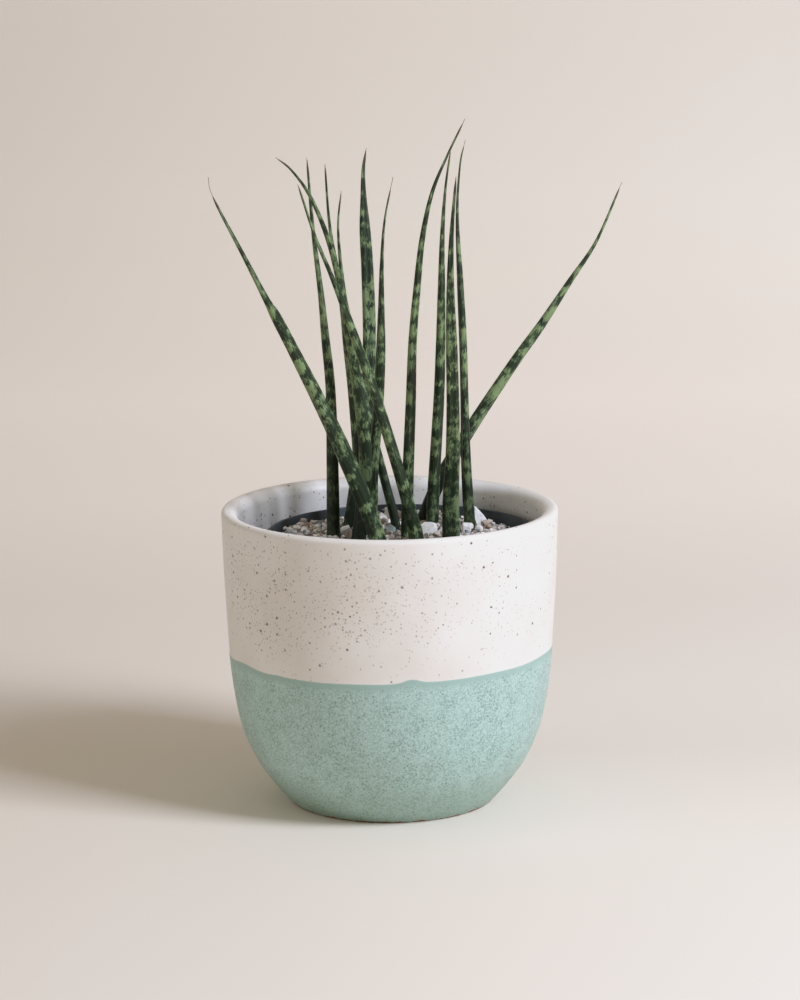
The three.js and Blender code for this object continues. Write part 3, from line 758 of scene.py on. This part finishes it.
leafLook = {
    "sides": 32,
    "rings": 130,
    "tipCrowding": 1.4,  # above 1 the rings crowd towards the tip
    "steps": 300,  # in which a route's length is measured
    "foot": 88.4,  # height of the rhizome's top, where the leaves begin
    "fullness": 1.05,  # of the routes' widths
    "fullLeaves": {"leaf_far_right": 1.16, "leaf_broad": 1.09},
    "channelDepth": 0.34,  # of half the width
    "channelSharpness": 6,
    "flatness": 0.92,
    "ridges": 9,
    "ridgeDepth": 0.018,
    "swelling": (9, 0.025),  # how many along the leaf, and how deep
    "threadRadius": 0.17,  # of the dry thread that ends a leaf
    "threadLength": 1.2,
    "longThreads": {"leaf_far_left": 9, "leaf_slim_centre": 6, "leaf_right_upright": 3, "leaf_far_right": 3,
                    "leaf_tallest": 2.5},
    "thinning": (4, 0.7),  # how far before the thread the blade thins down to it, and how roundly
    # painted shade: the leaves' lower parts are darkened where they shade one another, by a share for each
    # leaf
    "paintedFootShade": 0.1,
    "paintedFootShades": {"leaf_left_upright": 0.78, "leaf_curled_tip": 0.85, "leaf_far_right": 0.95,
                 "leaf_broad": 0.75, "leaf_behind_crossing": 0.6, "leaf_tallest": 0.3,
                 "leaf_right_centre": 0.35, "leaf_inner_left": 0.5, "leaf_front": 0.22,
                 "leaf_right_upright": 0.5},
    "paintedFootShadeTop": (168, 35),  # height that it reaches, and how far down it fades in
    "patternRadius": 3.0,
    "patternStride": 400,  # so that no two leaves have the same bands
    "bandSpacing": 8.5,
    "feather": 1.7,
    "lowPaintedShadeTone": {"From Min": 165.0, "From Max": 118.0, "To Min": -0.425, "To Max": -0.465},  # by height: painted shade, the skin darker lower down where the leaves shade one another
    "groove": {"From Min": 0.8, "From Max": 0.97, "To Max": -0.06},  # 0 at the leaf's sides, 1 in the groove
    "mottle": [  # size round and along the leaf, detail and share of each layer
        (1.2, 2.4, 3.0, 0.5), (0.7, 0.9, 2.0, 0.25), (30, 50, 0.0, 0.25)],
    "tones": (0.50, 0.585, 0.69),  # where the skin is dark, middling and light
    "dark": "#1f2e1a",
    "middle": "#435639",
    "light": "#7b9061",
    "lines": {"From Min": 0.55, "From Max": 0.75, "To Max": 0.22},
    "paintedFootShadeColour": "#192215",
    "dryEnd": "#5a4a36",
    "drying": {"From Min": 9.0, "From Max": 1.0},  # mm before the thread
    "dryThread": "#a99a84",
    "dried": {"From Min": 0.5, "From Max": -0.5},
}


def makeLeaf(order, name, facing, route, skin):
    look = leafLook
    bm = bmesh.new()
    space = bm.verts.layers.float_vector.new("leafSpace")
    form = bm.verts.layers.float_vector.new("leafForm")
    paintedShadeLayer = bm.verts.layers.float.new("footPaintedShade")
    bmesh.ops.create_grid(bm, x_segments=look["rings"], y_segments=look["sides"], size=0.5)
    start = 0.0
    while smoothThrough(route, start).z < look["foot"]:
        start += 0.002
    channelWay = Vector((math.cos(math.radians(facing)), math.sin(math.radians(facing)), 0))
    steps = look["steps"]
    places = [smoothThrough(route, start + (1 - start) * i / steps).xyz for i in range(steps + 1)]
    runs = list(itertools.accumulate(((b - a).length for a, b in zip(places, places[1:])), initial=0.0))
    thread = look["longThreads"].get(name, look["threadLength"])
    fullness = look["fullLeaves"].get(name, look["fullness"])
    paintedFootShade = look["paintedFootShades"].get(name, look["paintedFootShade"])
    shadeTop, shadeFade = look["paintedFootShadeTop"]
    swellings, swellingDepth = look["swelling"]
    thinning, roundness = look["thinning"]
    for vert in bm.verts:
        along, angle = 1 - (0.5 - vert.co.x) ** look["tipCrowding"], (vert.co.y + 0.5) * math.tau
        share = start + (1 - start) * along
        here = smoothThrough(route, share)
        ahead, behind = smoothThrough(route, min(1, share + 0.004)), smoothThrough(route, share - 0.004)
        tangent = (ahead - behind).xyz.normalized()
        front = (channelWay - channelWay.dot(tangent) * tangent).normalized()
        side = tangent.cross(front)
        across, sideways = math.cos(angle), math.sin(angle)
        facingChannel = max(0, across)
        channel = look["channelDepth"] * facingChannel ** look["channelSharpness"]
        radius = here.w / 2 * fullness * (1 - channel)
        ridge = math.cos(look["ridges"] * angle + order) * look["ridgeDepth"] * (1 - facingChannel**2)
        swelling = noise.noise(Vector((across, sideways, along * swellings + order * 7))) * swellingDepth
        run = runs[round(along * steps)]  # mm from the foot
        beyondThread = runs[-1] - run - thread
        blade = min(1, max(0, beyondThread / thinning)) ** roundness
        radius = look["threadRadius"] + (radius * (1 + ridge + swelling) - look["threadRadius"]) * blade
        vert[space] = (across * look["patternRadius"], sideways * look["patternRadius"],
                       run + order * look["patternStride"])
        vert[form] = (beyondThread, across, here.z)
        # painted shade near the foot, fading out upwards
        vert[paintedShadeLayer] = paintedFootShade * min(1, max(0, (shadeTop - here.z) / shadeFade))
        vert.co = (here.xyz + front * radius * across * look["flatness"] + side * radius * sideways) * mm
    bmesh.ops.remove_doubles(bm, verts=bm.verts, dist=0.002 * mm)
    bmesh.ops.holes_fill(bm, edges=[edge for edge in bm.edges if edge.is_boundary])
    finishedPiece(bm, name.replace("leaf_", "leaf_blade_"), skin, [name], 50)


def leafSkin():  # waxy living skin: dark green, paler bands with ragged edges, and a dry thread of a tip
    look = leafLook
    material, add = newMaterial("waxySnakeLeafSkin", 0.5, 1.38)
    space = add("Attribute", attribute_name="leafSpace").outputs["Vector"]
    form = add("Attribute", attribute_name="leafForm").outputs["Vector"]
    foot = add("Attribute", attribute_name="footPaintedShade").outputs["Fac"]
    split = add("SeparateXYZ", {"Vector": form})
    fromThread, grooved, height = split.outputs["X"], split.outputs["Y"], split.outputs["Z"]

    def stretched(around, along, detail=2.0, source=space):  # noise, with features of these sizes on the leaf
        fitted = add("Mapping", {"Vector": source, "Scale": (1 / around, 1 / around, 1 / along)})
        return add("TexNoise", {"Vector": fitted, "Scale": 1.0, "Detail": detail}).outputs["Fac"]

    # the tone: broad bands with feathered edges and finer mottle, darker in the groove, and darker near the
    # foot as painted shade
    feather = look["feather"]
    ragged = add("MapRange", {"Value": stretched(0.8, 3.0), "From Min": 0.3, "From Max": 0.7,
                              "To Min": -feather, "To Max": feather})
    shift = add("CombineXYZ", {"Z": ragged})
    feathered = add("VectorMath", {0: space, 1: shift}, operation="ADD")
    lowLeafShade = add("MapRange", {"Value": height, **look["lowPaintedShadeTone"]})
    groove = add("MapRange", {"Value": grooved, **look["groove"]})
    tone = add("Math", {0: lowLeafShade, 1: groove}, operation="ADD")
    layers = [(stretched(9, look["bandSpacing"] / 2, 1.0, feathered), 1.0)]
    layers += [(stretched(around, along, detail), share) for around, along, detail, share in look["mottle"]]
    for layer, share in layers:
        tone = add("Math", {0: layer, 1: share, 2: tone}, operation="MULTIPLY_ADD")
    dark, middle, light = look["tones"]
    colour = add("ValToRGB", {"Fac": tone},
                 [(dark, look["dark"]), (light, look["light"]), (middle, look["middle"])])

    # over it fine pale lines, the painted shade at the foot, the drying tip and its thread
    lines = add("MapRange", {"Value": stretched(0.5, 30, 1.0), **look["lines"]})
    drying = add("MapRange", {"Value": fromThread, **look["drying"]})
    thread = add("MapRange", {"Value": fromThread, **look["dried"]})
    colour = laidOver(add, colour, [(lines, look["light"]), (foot, look["paintedFootShadeColour"]),
                                    (drying, look["dryEnd"]), (thread, look["dryThread"])])
    wearColour(material, colour, None, stretched(0.6, 30), 0.1)
    return material


# Hidden pieces keep their CAD solids and get the finish of the real thing
def pottingMix():  # peat and bark: dark, crumbly, with pale fibres
    crumbs = [(0.0, "#2a1f18"), (1.0, "#6b5140"), (0.8, "#3f2f25")]
    return grainyMaterial("peatPottingMix", 0.95, 2.5, crumbs, 0.8)


def rhizomeSkin():  # tan papery skin, clouded lighter and darker
    clouds, stops = (3, {"Detail": 3.0}), [(0.35, "#a8733f"), (0.65, "#d3a772")]
    return cloudedMaterial("rhizomePaperySkin", 0.7, 1.5, clouds, stops, clouds, 0.3)


def dressCadNode(name, material):
    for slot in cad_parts[name].material_slots:
        slot.material = material


# Studio: a seamless sheet with a painted glow beyond the pot, a soft panel at the right, warm fill all round
studio = {
    "width": 6400,
    "front": -3200,
    "coveStart": 1800,
    "coveRadius": 500,
    "wallTop": 2000,
    "rows": 120,
    "paper": "#f1e8da",
    "paintedGlow": [  # distance behind the pot, along the sheet, and the painted glow there, which stands in for light
        (80, "#000000"), (200, "#3a3a3e"), (400, "#565256"), (690, "#807c7f"), (1070, "#949093"),
        (1600, "#929296"), (2010, "#919195"), (2270, "#86868a")],
    "paintedGlowSides": {"From Min": -400 * mm, "From Max": 400 * mm, "To Min": 0.72, "To Max": 1.28},
    "lampsFace": (0, 0, 120),
    "panelAzimuth": -34,  # degrees from +X, towards the camera
    "panelHeight": 36,  # degrees above the floor
    "panelDistance": 1300,
    "panelSize": 420,
    "panelPower": 16.8,  # watts
    "panelColour": (0.765, 0.82, 1.0),
    "cardPlace": (-950, -330, 760),  # a white card at the left, above the pot
    "cardSize": 600,
    "cardPower": 1.4,
    "cardColour": (0.84, 0.93, 1.0),
    "fill": (1.0, 0.87, 0.72),
    "fillStrength": 0.30,
    # what the film makes of each brightness: as it is up to 0.75, then a soft shoulder
    "film": [(0, 0), (0.4, 0.4), (0.75, 0.75), (0.85, 0.83), (0.93, 0.868), (1.1, 0.89), (2, 0.94)],
}


def makeStage():
    look = studio
    bm = bmesh.new()
    bmesh.ops.create_grid(bm, x_segments=2, y_segments=look["rows"], size=0.5)
    alongSheet = bm.verts.layers.float.new("alongSheet")
    cove = look["coveRadius"] * math.pi / 2
    flat = look["coveStart"] - look["front"]
    whole = flat + cove + look["wallTop"] - look["coveRadius"]
    for vert in bm.verts:
        run = (vert.co.y + 0.5) * whole
        bend = min(1, max(0, (run - flat) / cove)) * math.pi / 2
        y = look["front"] + min(run, flat) + look["coveRadius"] * math.sin(bend)
        z = look["coveRadius"] * (1 - math.cos(bend)) + max(0, run - flat - cove)
        vert.co = Vector((vert.co.x * look["width"], y, z)) * mm
        vert[alongSheet] = run + look["front"]
    for face in bm.faces:
        face.smooth = True
    sheet = linkedObject("studio_sheet", meshFrom(bm, "studio_sheet"))
    sheet.data.materials.append(paperWithPaintedGlow())


def paperWithPaintedGlow():  # matt paper: flat and even, its far part painted with a glow that stands in for light, brighter to the right
    look = studio
    material, add = newMaterial("mattBackdropPaperPaintedGlow", 0.9)
    tree = material.node_tree
    shader = tree.nodes["Principled BSDF"]
    shader.inputs["Base Color"].default_value = linearColour(look["paper"])
    shader.inputs["Specular IOR Level"].default_value = 0.1
    place = add("TexCoord").outputs["Object"]
    sideways = add("SeparateXYZ", {"Vector": place}).outputs["X"]
    # painted glow: stronger towards the right
    strength = add("MapRange", {"Value": sideways, **look["paintedGlowSides"]})
    run = add("Attribute", attribute_name="alongSheet").outputs["Fac"]
    furthest = look["paintedGlow"][-1][0]
    share = add("MapRange", {"Value": run, "From Max": furthest})
    stops = [(distance / furthest, colour) for distance, colour in look["paintedGlow"]]
    glow = add("ValToRGB", {"Fac": share}, [stops[0], stops[-1]] + stops[1:-1])
    tree.links.new(glow.outputs["Color"], shader.inputs["Emission Color"])
    tree.links.new(strength.outputs["Result"], shader.inputs["Emission Strength"])
    return material


def hangLamp(name, place, size, power, colour):
    aim = Vector(studio["lampsFace"])
    light = bpy.data.lights.new(name, "AREA")
    light.shape = "SQUARE"
    light.size = size * mm
    light.energy = power
    light.color = colour
    lamp = linkedObject(name, light)
    lamp.location = place * mm
    lamp.rotation_euler = (place - aim).to_track_quat("Z", "Y").to_euler()


def placeLights():
    look = studio
    azimuth, lift = math.radians(look["panelAzimuth"]), math.radians(look["panelHeight"])
    way = Vector((math.cos(azimuth) * math.cos(lift), math.sin(azimuth) * math.cos(lift), math.sin(lift)))
    panelPlace = Vector(look["lampsFace"]) + way * look["panelDistance"]
    hangLamp("softPanel", panelPlace, look["panelSize"], look["panelPower"], look["panelColour"])
    hangLamp("whiteCard", Vector(look["cardPlace"]), look["cardSize"], look["cardPower"], look["cardColour"])
    world = bpy.data.worlds.new("softRoom")
    world.use_nodes = True
    background = world.node_tree.nodes["Background"]
    background.inputs["Color"].default_value = (*look["fill"], 1)
    background.inputs["Strength"].default_value = look["fillStrength"]
    scene.world = world


def developPicture():
    picture = scene.view_settings
    picture.view_transform = "Standard"
    picture.use_curve_mapping = True
    brightest = studio["film"][-1][0]
    picture.curve_mapping.white_level = (brightest, brightest, brightest)
    curve = picture.curve_mapping.curves[3]  # the one for all three colours
    for i, (light, shown) in enumerate(studio["film"]):
        point = curve.points[i] if i < 2 else curve.points.new(light / brightest, shown)
        point.location = (light / brightest, shown)
    picture.curve_mapping.update()


placeCamera()
makeCoverPot()
print("cover pot done")
makeLiner()
print("liner done")
makeGravelBed()
makePebbles()
makeStones()
print("gravel and stones done")
skin = leafSkin()
for order, (name, (facing, route)) in enumerate(leaves.items()):
    makeLeaf(order, name, facing, route, skin)
print("leaves done:", len(leaves))
dressCadNode("soil", pottingMix())
dressCadNode("rhizome", rhizomeSkin())
makeStage()
placeLights()
developPicture()
print("stage and lights done")
